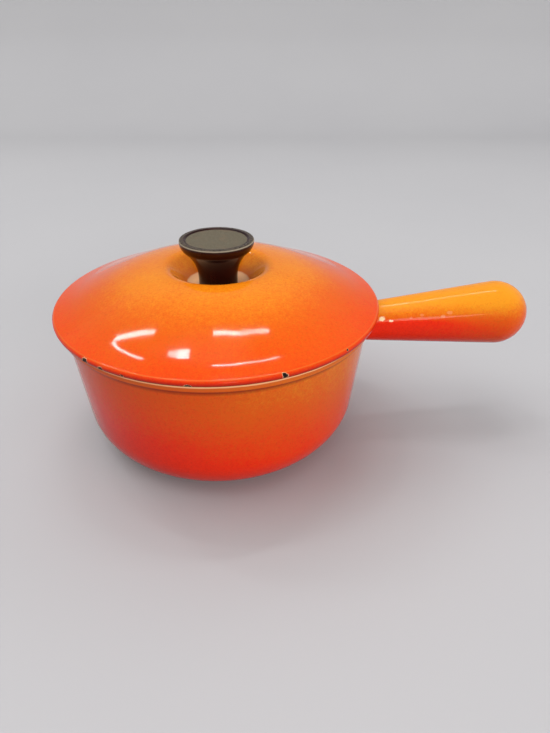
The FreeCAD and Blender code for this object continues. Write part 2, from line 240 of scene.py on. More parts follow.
@dataclass(frozen=True)
class FlameEnamel:
    """Glossy flame enamel that runs from deep red to orange, with a cream lining and chips.

    The mesh carries four values: "tone" from 0 burnt red to 1 orange, a painted shade from 0 to 1
    that darkens the crease under the bead and the underside of the lid's edge, "lining" in
    millimetres past the edge of the cream lining, which the lid raises along its edge's crest to
    paint a highlight line, and "chip", which is above 0 on bare iron.
    """
    burnt: Colour = paint(118, 22, 4)
    deep: Colour = paint(212, 22, 1)
    red: Colour = paint(234, 42, 2)
    orange: Colour = paint(228, 92, 7)
    bright: Colour = paint(232, 146, 26)
    rim: Colour = paint(250, 190, 138)
    rim_shade: Colour = paint(214, 104, 34)
    speck: Colour = paint(255, 226, 180)
    cream: Colour = paint(224, 211, 184)
    stain: Colour = paint(196, 170, 128)
    ground_coat: Colour = paint(240, 196, 148)
    iron: Colour = paint(16, 10, 9)
    rust: Colour = paint(74, 44, 28)
    gloss: float = 0.06
    specks_and_highlights: tuple[Speck, ...] = ()

    def flame(self, graph: Graph) -> Shade:
        """The fade itself: a ramp of the five flame colours over the tone, grained and clouded."""
        clouds = graph.ripple(0.16, 26.0, 3.0, 0.55)
        grain = graph.ripple(0.26, 1100.0, 2.0, 0.7)
        fleck = graph.ripple(0.22, 420.0, 4.0, 0.65)
        places = (0.0, 0.12, 0.42, 0.74, 1.0)
        colours = (self.burnt, self.deep, self.red, self.orange, self.bright)
        return graph.ramp(graph.mark("tone") + clouds + grain + fleck, list(zip(places, colours)))

    def material(self, name: str) -> Material:
        """The enamel as a material of that name."""
        graph = Graph.painted(name)
        soot = graph.noise(750.0, 3.0, 0.7).step(0.48, 0.75)
        edge = graph.mark("lining") + graph.ripple(0.5, 130.0)
        lined = edge.step(2.0, 6.0)
        stained = graph.noise(55.0, 5.0, 0.6).step(0.6, 0.8)
        chip = graph.mark("chip") + graph.ripple(0.25, 1500.0, 3.0)
        bare = chip.step(0.0, 0.08)
        rusted = graph.noise(900.0, 4.0).step(0.52, 0.7)
        colour = graph.coats(self.flame(graph), [
            # Painted shade: the crease under the bead and the underside of the lid's edge.
            (graph.mark("painted_shade"), self.burnt),
            (soot * 0.16, self.burnt),
            # On the lid's edge crest these two coats paint a pale highlight line.
            (edge.step(-3.2, -0.4) * 0.75, self.rim_shade),
            (edge.step(-0.5, 0.1), self.rim),
            (lined, graph.mix(stained * 0.35, self.cream, self.stain)),
            # Pale spots: specks, and on the handle a faint painted highlight line.
            *((speck.mask(graph), self.speck) for speck in self.specks_and_highlights),
            (chip.step(-0.2, -0.08) * 0.75, self.ground_coat),
            (bare, graph.mix(rusted, self.iron, self.rust)),
        ])
        haze = graph.noise(70.0, 5.0, 0.6).step(0.45, 0.8)
        roughness = self.gloss + haze * 0.02 + lined * 0.08 + bare * 0.5
        wave = graph.noise(75.0, 1.0) + graph.noise(260.0, 1.0) * 0.12
        normal = graph.bump(wave + bare * graph.noise(2600.0, 3.0) * 0.3, 0.12, 0.0004)
        return graph.finish(Base_Color=colour, Roughness=roughness, Normal=normal, IOR=1.52,
                            Specular_IOR_Level=0.18)


@dataclass(frozen=True)
class Phenolic:
    """Dark moulded phenolic whose top has faded to a speckled olive grey.

    The mesh carries a value from 0 fresh past 1 faded, dipped for a painted shadow ring at the dish's
    step and raised to 1.8 for a painted highlight along the rim's edge.
    """
    body: Colour = paint(30, 4, 4)
    brown: Colour = paint(48, 16, 9)
    faded: Colour = paint(110, 103, 84)
    faded_dark: Colour = paint(82, 74, 58)
    faded_warm: Colour = paint(109, 91, 72)
    # Colour of the painted highlight along the rim's edge.
    painted_edge_highlight: Colour = paint(176, 164, 146)

    def material(self, name: str) -> Material:
        """The moulding as a material of that name."""
        graph = Graph.painted(name)
        streak = graph.noise(90.0, 4.0, 0.6, (1.0, 1.0, 0.25))
        speckle = graph.noise(1900.0, 3.0, 0.75)
        warm = graph.noise(160.0, 3.0, 0.6).step(0.5, 0.68)
        wear_and_painted_light = (graph.mark("wear_and_painted_light") + graph.ripple(0.5, 700.0, 4.0, 0.7)).step(0.3, 0.7)
        faded = graph.mix(speckle.step(0.38, 0.66), self.faded_dark, self.faded)
        colour = graph.coats(graph.mix(streak.step(0.35, 0.75), self.body, self.brown), [
            (wear_and_painted_light, graph.mix(warm * 0.6, faded, self.faded_warm)),
            # Painted highlight: a pale line along the rim's edge.
            (graph.mark("wear_and_painted_light").step(1.05, 1.6), self.painted_edge_highlight),
        ])
        roughness = 0.2 + wear_and_painted_light * 0.33 + (streak - 0.5) * 0.1
        normal = graph.bump(speckle * wear_and_painted_light + graph.noise(300.0) * 0.4, 0.3, 0.0002)
        return graph.finish(Base_Color=colour, Roughness=roughness, Normal=normal, IOR=1.55,
                            Specular_IOR_Level=0.22)


@dataclass(frozen=True)
class TurnedMetal:
    """Turned or plated metal with fine marks and a dull tarnish in patches."""
    bright: Colour
    tarnish: Colour
    roughness: float

    def material(self, name: str) -> Material:
        """The metal as a material of that name."""
        graph = Graph.painted(name)
        patches = graph.noise(400.0, 4.0, 0.6).step(0.45, 0.72)
        marks = graph.noise(2400.0, 2.0, 0.6, (1.0, 1.0, 6.0))
        colour = graph.mix(patches, self.bright, self.tarnish)
        roughness = self.roughness + patches * 0.2 + (marks - 0.5) * 0.12
        normal = graph.bump(marks, 0.25, 0.0001)
        return graph.finish(Base_Color=colour, Roughness=roughness, Normal=normal, Metallic=1.0)


# ---- Profiles and surfaces

def spread(start: float, end: float, pitch: float) -> Array:
    """Even values from start to end, both kept, no more than pitch apart."""
    count = max(2, math.ceil(abs(end - start) / pitch) + 1)
    return np.linspace(start, end, count)


@dataclass(frozen=True)
class Bow:
    """An arc of a profile: centre + radius * (sin s, cos s) at slope s from the level.

    A negative radius makes it hollow.
    """
    centre: Array
    radius: float

    @staticmethod
    def toward(slope: float | Array) -> Array:
        """Unit (r, z) square to a surface of that slope."""
        return np.stack([np.sin(slope), np.cos(slope)], axis=-1)

    def slope_at(self, r: float, inset: float = 0.0) -> float:
        """Slope at radius r from the pan's axis, with the arc drawn in by inset."""
        return math.asin((r - self.centre[0]) / (self.radius - inset))

    def onward(self, slope: float, radius: float) -> "Bow":
        """The arc of that radius which runs on from this one, tangent to it at the slope."""
        return Bow(self.centre + self.toward(slope) * (self.radius - radius), radius)

    def run(self, start: float, end: float, inset: float = 0.0, pitch: float = 0.002) -> Array:
        """Points along the arc.

        Args:
            start: slope at the first point, in radians.
            end: slope at the last point.
            inset: how far the arc is drawn in.
            pitch: longest step along it.

        Returns:
            The points, (n, 2).
        """
        radius = self.radius - inset
        slopes = spread(start, end, min(0.12, pitch / abs(radius)))
        return self.centre + radius * self.toward(slopes)


def straight(start: Array, end: Array, pitch: float = 0.003, hold: float = 0.0004) -> Array:
    """Points from start to end: even steps of pitch, with one within hold of each end."""
    length = float(np.linalg.norm(end - start))
    if length < 4 * hold:
        return np.array([start, end])
    along = np.concatenate(([0.0], spread(hold, length - hold, pitch), [length])) / length
    return start + (end - start) * along[:, None]


def chain(*runs: Array) -> Array:
    """Join runs of a profile with straight lines where they don't meet."""
    parts = [runs[0]]
    for before, run in zip(runs, runs[1:]):
        if np.linalg.norm(run[0] - before[-1]) > 1e-7:
            parts.append(straight(before[-1], run[0])[1:])
        parts.append(run[1:])
    return np.concatenate(parts)


def corner(before: Array, here: Array, after: Array, radius: float, pitch: float) -> Array:
    """The arc of a radius that turns one corner of a profile.

    With unit directions b back and a ahead, and h half the angle between them, the arc's
    centre is here + (a + b) / |a + b| * radius / sin h, and its ends are radius / tan h along
    b and a.

    Args:
        before: the corner before.
        here: the corner to turn.
        after: the corner after.
        radius: the arc's radius; 0 keeps the corner sharp.
        pitch: longest step along it.

    Returns:
        Points of the arc, (n, 2), or the corner itself.
    """
    if radius <= 0:
        return here[None, :]
    back = (before - here) / np.linalg.norm(before - here)
    ahead = (after - here) / np.linalg.norm(after - here)
    half = math.acos(float(np.clip(back @ ahead, -1, 1))) / 2
    middle = (back + ahead) / np.linalg.norm(back + ahead)
    centre = here + middle * radius / math.sin(half)
    ends = np.stack([back, ahead]) * radius / math.tan(half) + here - centre
    first, last = np.arctan2(ends[:, 1], ends[:, 0])
    last = first + wrapped(last - first)
    angles = spread(first, last, min(0.2, pitch / radius))
    return centre + radius * np.stack([np.cos(angles), np.sin(angles)], axis=-1)


def rounded(corners: Sequence[Triple], pitch: float = 0.002) -> Array:
    """Profile through (r, z, radius) corners, each turned by its arc; the ends stay sharp."""
    places = np.array([(r, z) for r, z, _ in corners])
    runs = [places[:1]]
    for i in range(1, len(corners) - 1):
        runs.append(corner(places[i - 1], places[i], places[i + 1], corners[i][2], pitch))
    runs.append(places[-1:])
    return chain(*runs)


def rise(value: Array, low: float, high: float) -> Array:
    """Smooth step from 0 at low to 1 at high: t * t * (3 - 2 t)."""
    t = np.clip((value - low) / (high - low), 0, 1)
    return t * t * (3 - 2 * t)


def wrapped(angle: Array) -> Array:
    """The angle brought between -pi and pi."""
    return (angle + math.pi) % TURN - math.pi


def bearing_of(grid: Array) -> Array:
    """Angle of each point round the pan's axis, from +X."""
    return np.arctan2(grid[..., 1], grid[..., 0])


def off_axis(grid: Array) -> Array:
    """Distance of each point from the pan's axis."""
    return np.hypot(grid[..., 0], grid[..., 1])


def lathe(profile: Array, angles: Array) -> Array:
    """Grid of a turned profile: the point (r, z) at angle a is (r cos a, r sin a, z)."""
    r, z = profile[:, :1], profile[:, 1:]
    return np.stack([r * np.cos(angles), r * np.sin(angles), z + 0 * angles], axis=-1)


def fan(first: Array, last: Array, rows: int) -> Array:
    """Rows of unit vectors that turn evenly from first to last.

    With w the angle between a pair, the row at u from 0 to 1 holds
    (first * sin((1 - u) w) + last * sin(u w)) / sin w.

    Args:
        first: unit vectors of the first row, (n, 3).
        last: unit vectors of the last row, (n, 3).
        rows: how many rows to make.

    Returns:
        The vectors, (rows, n, 3).
    """
    swing = np.arccos(np.clip((first * last).sum(axis=1), -1, 1))[:, None]
    u = np.linspace(0, 1, rows)[:, None, None]
    return (first * np.sin((1 - u) * swing) + last * np.sin(u * swing)) / np.sin(swing)


@dataclass
class Patch:
    """A grid of points with the values that its material reads at each of them."""
    grid: Array
    marks: dict[str, Array]


def solid(name: str, patches: Sequence[Patch], material: Material) -> Piece:
    """Join patches whose borders meet into one closed object, its faces outwards.

    Each grid of m by n points gives (m - 1)(n - 1) quads; borders and poles that fall on
    each other are merged, and edges that turn more than CREASE are shaded sharp.

    Args:
        name: the object's name.
        patches: the grids, with the same marks on each.
        material: its finish.

    Returns:
        The object, at the origin.
    """
    points, quads, start = [], [], 0
    for patch in patches:
        rows, columns = patch.grid.shape[:2]
        index = np.arange(rows * columns).reshape(rows, columns) + start
        ring = [index[:-1, :-1], index[:-1, 1:], index[1:, 1:], index[1:, :-1]]
        quads.append(np.stack(ring, axis=-1).reshape(-1, 4))
        points.append(patch.grid.reshape(-1, 3))
        start += rows * columns
    mesh = bpy.data.meshes.new(name)
    mesh.from_pydata(np.concatenate(points), [], np.concatenate(quads).tolist())
    for key in patches[0].marks:
        values = np.concatenate([patch.marks[key].ravel() for patch in patches])
        layer = mesh.attributes.new(key, "FLOAT", "POINT")
        layer.data.foreach_set("value", values.astype(np.float32))
    work = bmesh.new()
    work.from_mesh(mesh)
    bmesh.ops.remove_doubles(work, verts=work.verts, dist=WELD)
    bmesh.ops.recalc_face_normals(work, faces=work.faces)
    work.to_mesh(mesh)
    work.free()
    mesh.shade_smooth()
    mesh.set_sharp_from_angle(angle=CREASE)
    mesh.materials.append(material)
    made = bpy.data.objects.new(name, mesh)
    bpy.context.collection.objects.link(made)
    return made


# ---- Wear

@dataclass(frozen=True)
class Chip:
    """A place where the enamel has chipped off an edge down to the iron.

    Bearing is in degrees from +X, r and z place its middle, across and along are half its
    width round the edge and over it, and turn varies its outline.
    """
    bearing: float
    r: float
    z: float
    across: float
    along: float
    turn: float

    def field(self, grid: Array) -> Array:
        """How far inside the chip each point lies: 1 in its middle, 0 at its outline.

        With t the distance round the edge and s the distance over it, the value is
        1 + 0.2 sin(2a + q) + 0.13 sin(3a + 2q) + 0.08 sin(7a + 3q) - |(t / across, s / along)|,
        where a is the direction from the middle and q the chip's own turn.
        """
        r = off_axis(grid)
        swing = wrapped(bearing_of(grid) - math.radians(self.bearing))
        over = np.hypot(r - self.r, grid[..., 2] - self.z) * np.sign(grid[..., 2] - self.z + 1e-9)
        t, s = swing * r / self.across, over / self.along
        a = np.arctan2(s, t)
        outline = 0.2 * np.sin(2 * a + self.turn) + 0.13 * np.sin(3 * a + 2 * self.turn)
        return 1 + outline + 0.08 * np.sin(7 * a + 3 * self.turn) - np.hypot(t, s)


def chipped(grid: Array, chips: Sequence[Chip], core: Array, depth: float) -> tuple[Array, Array]:
    """Sink the chips into a grid.

    A point moves towards the core circle by depth times the smooth step of the chip's field
    from 0 to 0.4.

    Args:
        grid: points, rows by columns by three.
        chips: the chips in it.
        core: (r, z) of the circle that the edge is wrapped round.
        depth: how deep a chip goes.

    Returns:
        The moved grid, and the largest field at each point, held between -1 and 1.
    """
    inside = np.full(grid.shape[:2], -1.0)
    for chip in chips:
        inside = np.maximum(inside, chip.field(grid))
    r = off_axis(grid)
    pull = np.stack([core[0] - r, core[1] - grid[..., 2]], axis=-1)
    pull /= np.linalg.norm(pull, axis=-1, keepdims=True) + 1e-12
    sink = depth * rise(inside, 0.0, 0.4)
    spoke = grid[..., :2] / np.maximum(r, 1e-9)[..., None]
    moved = grid.copy()
    moved[..., :2] += spoke * (sink * pull[..., 0])[..., None]
    moved[..., 2] += sink * pull[..., 1]
    return moved, np.clip(inside, -1, 1)


def bearings(count: int, chips: Sequence[Chip], gain: float = 8.0) -> Array:
    """Angles once round the axis, closer together at each chip.

    The density of columns at angle a is 1 + gain * sum exp(-((a - b) / w) ** 4) over the
    chips' bearings b, with w about a chip's width; its running sum is cut into equal parts.

    Args:
        count: how many steps there are.
        chips: where the columns close up.
        gain: how much closer they get.

    Returns:
        count + 1 angles from 0 to a full turn.
    """
    fine = np.linspace(0, TURN, 20001)
    density = np.ones_like(fine)
    for chip in chips:
        away = wrapped(fine - math.radians(chip.bearing))
        density += gain * np.exp(-((away / (1.9 * chip.across / chip.r)) ** 4))
    total = np.concatenate(([0.0], np.cumsum((density[1:] + density[:-1]) / 2)))
    return np.interp(np.linspace(0, total[-1], count + 1), total, fine)


# ---- Saucepan

@dataclass(frozen=True)
class Bowl:
    """Turned bowl with a bead round its rim and a ground foot ring."""
    height: float
    rim_r: float
    bead_height: float = 0.0049
    bead_overhang: float = 0.0029
    bead_top_round: float = 0.0017
    bead_lower_round: float = 0.0013
    crease_round: float = 0.0006
    draft: float = math.radians(5.9)
    wall: float = 0.0038
    floor: float = 0.0046
    heel_round: float = 0.0293
    mouth_round: float = 0.0009
    foot_width: float = 0.0070
    foot_recess: float = 0.0008
    foot_round: float = 0.0007
    foot_edge: float = 0.0003
    rim_lap: float = 0.0057
    chip_core: float = 0.0025
    chip_depth: float = 0.0003
    columns: int = 360
    chips: tuple[Chip, ...] = ()

    def wall_r(self, z: float | Array, inset: float = 0.0) -> float | Array:
        """Radius of the wall's face at height z, drawn in square to it by inset."""
        under_bead = self.height - self.bead_height
        waist = self.rim_r - self.bead_overhang
        return waist + (z - under_bead) * math.tan(self.draft) - inset / math.cos(self.draft)

    def outside(self) -> Array:
        """Profile from the middle of the base round to the middle of the rim's flat."""
        flat = self.wall_r(0) - self.heel_round * math.tan((math.pi / 2 - self.draft) / 2)
        recess_r = flat - self.foot_width
        under_bead = self.height - self.bead_height
        return rounded([
            (0.0, self.foot_recess, 0.0),
            (recess_r, self.foot_recess, self.foot_round),
            (recess_r, 0.0, self.foot_edge),
            (self.wall_r(0), 0.0, self.heel_round),
            (self.wall_r(under_bead), under_bead, self.crease_round),
            (self.rim_r, under_bead, self.bead_lower_round),
            (self.rim_r, self.height, self.bead_top_round),
            (self.rim_r - self.bead_height, self.height, 0.0),
        ])

    def inside(self) -> Array:
        """Profile from the middle of the rim's flat down the inside to the middle of the floor."""
        return rounded([
            (self.rim_r - self.bead_height, self.height, 0.0),
            (self.wall_r(self.height, self.wall), self.height, self.mouth_round),
            (self.wall_r(self.floor, self.wall), self.floor, self.heel_round - self.wall),
            (0.0, self.floor, 0.0),
        ])

    def tone(self, grid: Array) -> Array:
        """Tone of the outside: orange under the bead, deeper red towards the base, with painted light
        that is lighter on the front right and darker on the left.
        """
        z = grid[..., 2]
        # Painted light: lighter on the side the light comes from, darker on the far side.
        painted_side_light = 0.17 * np.cos(bearing_of(grid) + 0.5)
        return 0.24 + 0.25 * rise(z, 0.004, 0.06) + 0.16 * rise(z, 0.04, 0.08) + painted_side_light

    def painted_shade(self, grid: Array) -> Array:
        """Painted shade, darkest in the crease under the bead."""
        z = grid[..., 2] - self.height + self.bead_height
        return 0.95 * rise(z, -0.0034, -0.0014) * (1 - rise(z, 0.0001, 0.0014))

    def patches(self) -> list[Patch]:
        """The bowl's two grids, chipped and marked."""
        angles = bearings(self.columns, self.chips)
        core = np.array([self.rim_r, self.height]) - self.chip_core
        found = []
        for profile, laps in ((self.outside(), True), (self.inside(), False)):
            run = np.concatenate(([0.0], np.cumsum(np.linalg.norm(np.diff(profile, axis=0), axis=1))))
            beyond = (run - run[-1] if laps else run) + self.rim_lap
            grid, chip = chipped(lathe(profile, angles), self.chips, core, self.chip_depth)
            lining = np.repeat(beyond[:, None] * MM_PER_M, len(angles), axis=1)
            marks = {"tone": self.tone(grid), "painted_shade": self.painted_shade(grid), "lining": lining, "chip": chip}
            found.append(Patch(grid, marks))
        return found


@dataclass(frozen=True)
class Handle:
    """Flared handle with a ball end, cast in one with the bowl, hollow and slotted below.

    It is worked out on its own axis, x out from the wall, and then tilted and moved.
    """
    bowl: Bowl
    length: float = 0.1070
    tilt: float = math.radians(3.0)
    root_r: float = 0.0120
    end_r: float = 0.0202
    drop: float = 0.0048
    wall: float = 0.0052
    blend: float = 0.0045
    blend_lip: Pair = (0.0015, 0.0007)
    rim_gap: float = 0.0004
    core_start: float = 0.0140
    slot_start: float = 0.0260
    slot_end_gap: float = 0.0240
    slot_root_r: float = 0.0036
    slot_end_r: float = 0.0066
    slot_round: float = 0.0014
    slot_rows: int = 7
    climb_rows: int = 4
    blend_rows: int = 9
    blend_tries: int = 30
    columns: int = 64

    @property
    def root(self) -> Array:
        """Where the axis leaves the wall."""
        z = self.bowl.height - self.drop - self.root_r
        return np.array([self.bowl.wall_r(z), 0.0, z])

    @property
    def ball_x(self) -> float:
        """Centre of the ball end along the axis."""
        return self.length - self.end_r

    @property
    def taper(self) -> float:
        """Angle of the cone's side to the axis, tangent to the ball."""
        reach = math.hypot(self.root_r, self.ball_x)
        return math.atan2(self.ball_x, self.root_r) - math.acos(self.end_r / reach)

    def skin(self, x: Array, inset: float = 0.0) -> Array:
        """Radius at x of the cone and ball, drawn in by inset.

        It is j + (x - k) tan t on the cone that meets the ball of radius b at
        (k, j) = (c - b sin t, b cos t), and sqrt(b b - (x - c) ** 2) beyond it.
        """
        ball = self.end_r - inset
        join_x = self.ball_x - ball * math.sin(self.taper)
        cone = ball * math.cos(self.taper) + (x - join_x) * math.tan(self.taper)
        cap = np.sqrt(np.maximum(ball * ball - (x - self.ball_x) ** 2, 0))
        return np.where(x < join_x, cone, cap)

    def tilted(self, points: Array, sign: float = 1.0) -> Array:
        """Points or directions turned up by the tilt, or back down where sign is -1."""
        x, y, z = np.moveaxis(points, -1, 0)
        c, s = math.cos(self.tilt), sign * math.sin(self.tilt)
        return np.stack([x * c - z * s, y, x * s + z * c], axis=-1)

    def placed(self, points: Array) -> Array:
        """Points from the handle's own axis to the wall of the bowl."""
        return self.root + self.tilted(points)

    def unplaced(self, points: Array) -> Array:
        """The reverse of placed."""
        return self.tilted(points - self.root, -1.0)

    def around(self, opening: Array) -> Array:
        """Angles round the axis from the bottom, over the top from one edge of the slot to the other.

        Each is e + (pi - e) u for u from 0 to 1, or its mirror, with e a row's half opening.
        """
        u = np.linspace(0, 1, self.columns // 2 + 1)
        half = opening[:, None] + (math.pi - opening[:, None]) * u
        return np.concatenate([half, TURN - half[:, -2::-1]], axis=1)

    def rings(self, x: Array, opening: Array | float = 0.0, inset: float = 0.0) -> Array:
        """Rows of points round the axis: (x, R sin a, -R cos a), with R the skin's radius.

        Args:
            x: place of each row along the axis, or of each of its points.
            opening: half angle that each row leaves open below.
            inset: how far the skin is drawn in.

        Returns:
            Grid on the handle's own axis.
        """
        angles = self.around(np.broadcast_to(opening, len(x)))
        x = (x[:, None] if x.ndim == 1 else x) + 0 * angles
        radius = self.skin(x, inset)
        return np.stack([x, radius * np.sin(angles), -radius * np.cos(angles)], axis=-1)

    def root_fillet(self) -> Array:
        """Fillet between the handle and the wall, with a lip that ends inside the wall.

        A ball of radius q touches the cone at station x and the wall at once where its centre
        is as far out as the wall's face plus q / cos(draft); x is found by repeated steps of
        that difference. The fillet fans about that centre from the wall's normal to the cone's.

        Returns:
            Grid in the object's frame, from inside the wall out to the cone.
        """
        q, draft = self.blend, self.bowl.draft
        angles = self.around(np.zeros(1))[0]
        side = np.stack([0 * angles, np.sin(angles), -np.cos(angles)], axis=-1)
        normal = self.tilted(side * math.cos(self.taper) - [math.sin(self.taper), 0.0, 0.0])
        x = np.full(len(angles), q)
        for _ in range(self.blend_tries):
            touch = side * self.skin(x)[:, None]
            touch[:, 0] = x
            centre = self.placed(touch) + normal * q
            out = np.hypot(centre[:, 0], centre[:, 1])
            x = x - (out - self.bowl.wall_r(centre[:, 2]) - q / math.cos(draft))
        spoke = centre[:, :2] / out[:, None] * math.cos(draft)
        to_wall = -np.column_stack([spoke, np.full(len(x), -math.sin(draft))])
        arc = centre + q * fan(to_wall, -normal, self.blend_rows)
        lip = arc[0] + to_wall * np.array(self.blend_lip)[:, None, None]
        grid = np.concatenate([lip, arc])
        grid[..., 2] = np.minimum(grid[..., 2], self.bowl.height - self.rim_gap)
        return grid

    def slot_outline(self) -> tuple[Array, Array]:
        """Half the slot's outline seen from below, from its narrow end to its wide end.

        It is the envelope of circles whose centre and radius run evenly from one end to the
        other: the point is (c + p cos a, p sin a), and (cos a, sin a) is its normal.

        Returns:
            Points and outward normals, (n, 2) each.
        """
        near, far = self.slot_start, self.length - self.slot_end_gap
        turn = math.pi / 2 + math.asin((self.slot_end_r - self.slot_root_r) / (far - near))
        first = np.linspace(math.pi, turn, 10)
        last = np.linspace(turn, 0, 14)
        line = np.linspace(0, 1, 22)[1:-1]
        angle = np.concatenate([first, np.full(len(line), turn), last])
        along = np.concatenate([0 * first, line, 0 * last + 1])
        centre = near + (far - near) * along
        radius = self.slot_root_r + (self.slot_end_r - self.slot_root_r) * along
        normal = np.column_stack([np.cos(angle), np.sin(angle)])
        return np.column_stack([centre, 0 * centre]) + radius[:, None] * normal, normal

    def underside(self, plan: Array, inset: float) -> Array:
        """The skin's points straight below an (x, y) plan: z is -sqrt(R R - y y)."""
        z = -np.sqrt(self.skin(plan[:, 0], inset) ** 2 - plan[:, 1] ** 2)
        return np.column_stack([plan, z])

    def slot_wall(self) -> Array:
        """Half the slot's side, from the outer skin over its rounded edge up to the hollow.

        The round is a ball of radius q rolled along the outline q inside the skin: rows fan
        from the skin's normal to the wall's about its centre, then go straight up.

        Returns:
            Grid, levels by outline points by three, on the handle's own axis.
        """
        q = self.slot_round
        plan, normal = self.slot_outline()
        ball = self.underside(plan + q * normal, q)
        sine = np.clip((ball[:, :1] - self.ball_x) / (self.end_r - q), -math.sin(self.taper), 1)
        size = np.hypot(ball[:, 1:2], ball[:, 2:])
        out = np.hstack([sine, np.sqrt(1 - sine ** 2) * ball[:, 1:] / size])
        inward = np.column_stack([-normal, 0 * plan[:, 0]])
        edge = ball + q * fan(out, inward, self.slot_rows)
        climb = np.linspace(0, 1, self.climb_rows + 1)[1:, None, None]
        return np.concatenate([edge, edge[-1] + (self.underside(plan, self.wall) - edge[-1]) * climb])

    def tone(self, grid: Array) -> Array:
        """Tone: orange above and at the end, deep red low on the sides near the root.

        With h the height above the axis over the skin's radius, it steps up in a band in h
        that is sharp near the root and soft at the end, and rises on towards the top. The fade
        from red to orange is the enamel's own; the band's sharp edge near the root is painted reflection.
        """
        own = self.unplaced(grid)
        h = own[..., 2] / self.skin(np.clip(own[..., 0], 0, self.ball_x))
        far = rise(own[..., 0], 0.02, self.length)
        soft = 0.1 + 0.7 * far * far
        level = 0.4 - 0.3 * far
        # The sharp edge of this band near the root is painted reflection; the fade itself is the enamel's
        # own.
        band = (0.38 - 0.12 * far) * rise(h, level - soft, level + soft)
        return 0.37 + 0.22 * far + band + (0.31 - 0.08 * far) * rise(h, level, 1.05)

    def cap(self, start: float, inset: float, count: int) -> Array:
        """Stations over the ball from just past x = start to its tip, evenly turned: c + b cos a."""
        ball = self.end_r - inset
        swing = math.acos((start - self.ball_x) / ball)
        return self.ball_x + ball * np.cos(np.linspace(swing, 0, count)[1:])

    def outer(self, edge: Array) -> Array:
        """The outside in the object's frame: a disc in the wall, fillet, cone and ball.

        Args:
            edge: half the slot's outline on the skin, where the cone stays open.

        Returns:
            Grid from the disc's middle to the tip.
        """
        fillet = self.root_fillet()
        disc = np.repeat(fillet[:1].mean(axis=1, keepdims=True), fillet.shape[1], axis=1)
        start = self.unplaced(fillet[-1])[:, 0]
        stations = start + (edge[0, 0] - start) * np.linspace(0, 1, 9)[1:-1, None]
        slotted = self.rings(edge[:, 0], np.arctan2(edge[:, 1], -edge[:, 2]))
        rings = [self.rings(stations), slotted, self.rings(self.cap(edge[-1, 0], 0.0, 16))]
        return np.concatenate([disc, fillet, self.placed(np.concatenate(rings))])

    def hollow(self, top: Array) -> Array:
        """The core on the handle's own axis: a flat start, cone and ball.

        Args:
            top: half the slot's outline on the core, where it stays open.

        Returns:
            Grid from the middle of the flat to the core's tip.
        """
        before = spread(self.core_start, top[0, 0], 0.003)[:-1]
        after = self.cap(top[-1, 0], self.wall, 14)
        opening = np.concatenate([0 * before, np.arctan2(top[:, 1], -top[:, 2]), 0 * after])
        core = self.rings(np.concatenate([before, top[:, 0], after]), opening, self.wall)
        return np.concatenate([core[:1] * [1.0, 0.0, 0.0], core])

    def patches(self) -> list[Patch]:
        """The handle's grids: outside, slot and hollow, all flame enamel with no chips."""
        wall = self.slot_wall()
        slot = np.concatenate([wall, wall[:, -2::-1] * [1.0, -1.0, 1.0]], axis=1)
        found = []
        for grid in (self.outer(wall[0]), self.placed(slot), self.placed(self.hollow(wall[-1]))):
            none = np.full(grid.shape[:2], UNLINED)
            marks = {"tone": self.tone(grid), "painted_shade": 0 * none, "lining": none, "chip": none}
            found.append(Patch(grid, marks))
        return found


@dataclass(frozen=True)
class Pan:
    """Bowl and handle as the one casting that they are."""
    bowl: Bowl
    handle: Handle

    def build(self, enamel: Material) -> Piece:
        """Make the casting and give it its enamel."""
        made = solid("pan_casting", self.bowl.patches() + self.handle.patches(), enamel)
        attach(made, "pan")
        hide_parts("saucepan_body")
        return made


# ---- Lid

